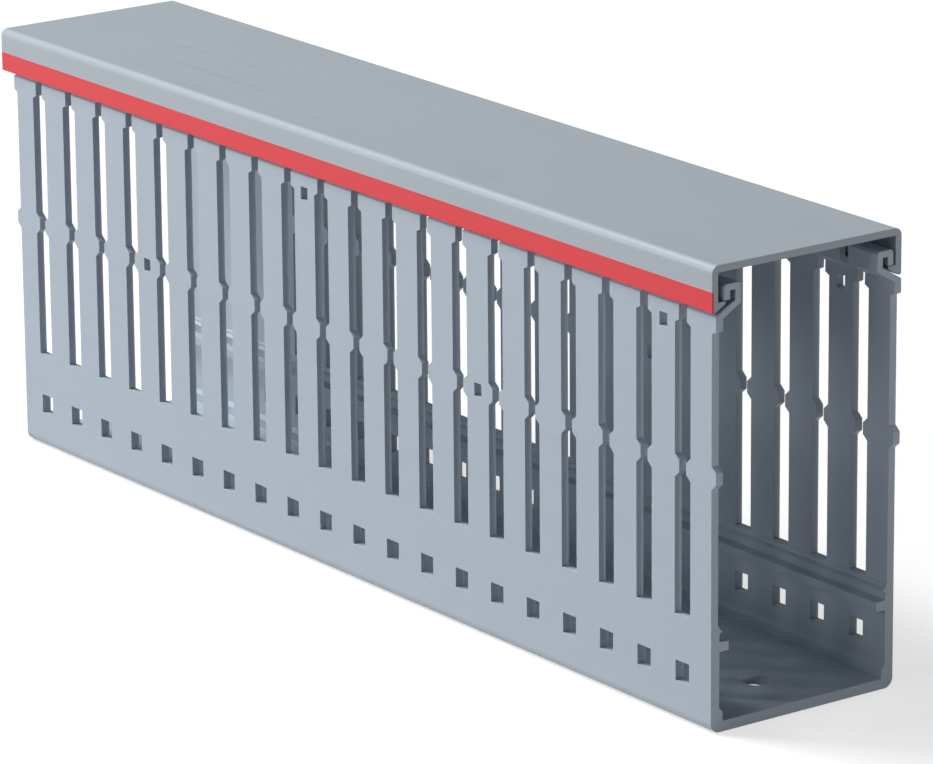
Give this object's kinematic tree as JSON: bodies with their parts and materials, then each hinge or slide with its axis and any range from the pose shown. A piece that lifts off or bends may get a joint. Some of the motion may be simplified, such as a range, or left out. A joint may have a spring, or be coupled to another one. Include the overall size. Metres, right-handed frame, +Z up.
{
  "type": "slotted wire duct",
  "caption": "Slotted wiring duct for a control panel: a finger-walled channel with mounting slots in its base and a clip-on cover that slides along the hooked finger heads.",
  "frame": {"origin": "on the underside of the duct body's base, at the middle of its length and width", "axes": "+X along the duct, +Y across it, +Z up from the base to the cover"},
  "size_m": [0.2102, 0.0388, 0.078],
  "materials": {
    "duct_plastic": "smooth extruded PVC, bluish light grey",
    "cover_plastic": "smooth extruded PVC, light grey, with a plain red stripe along the lip"
  },
  "bodies": {
    "duct": {"duct_body": "duct_plastic"},
    "lid": {"cover": "cover_plastic"}
  },
  "joints": [
    {"name": "cover_slide", "type": "slide", "parent": "duct", "child": "lid", "axis": [1, 0, 0], "range_m": [-0.18, 0.18]}
  ]
}
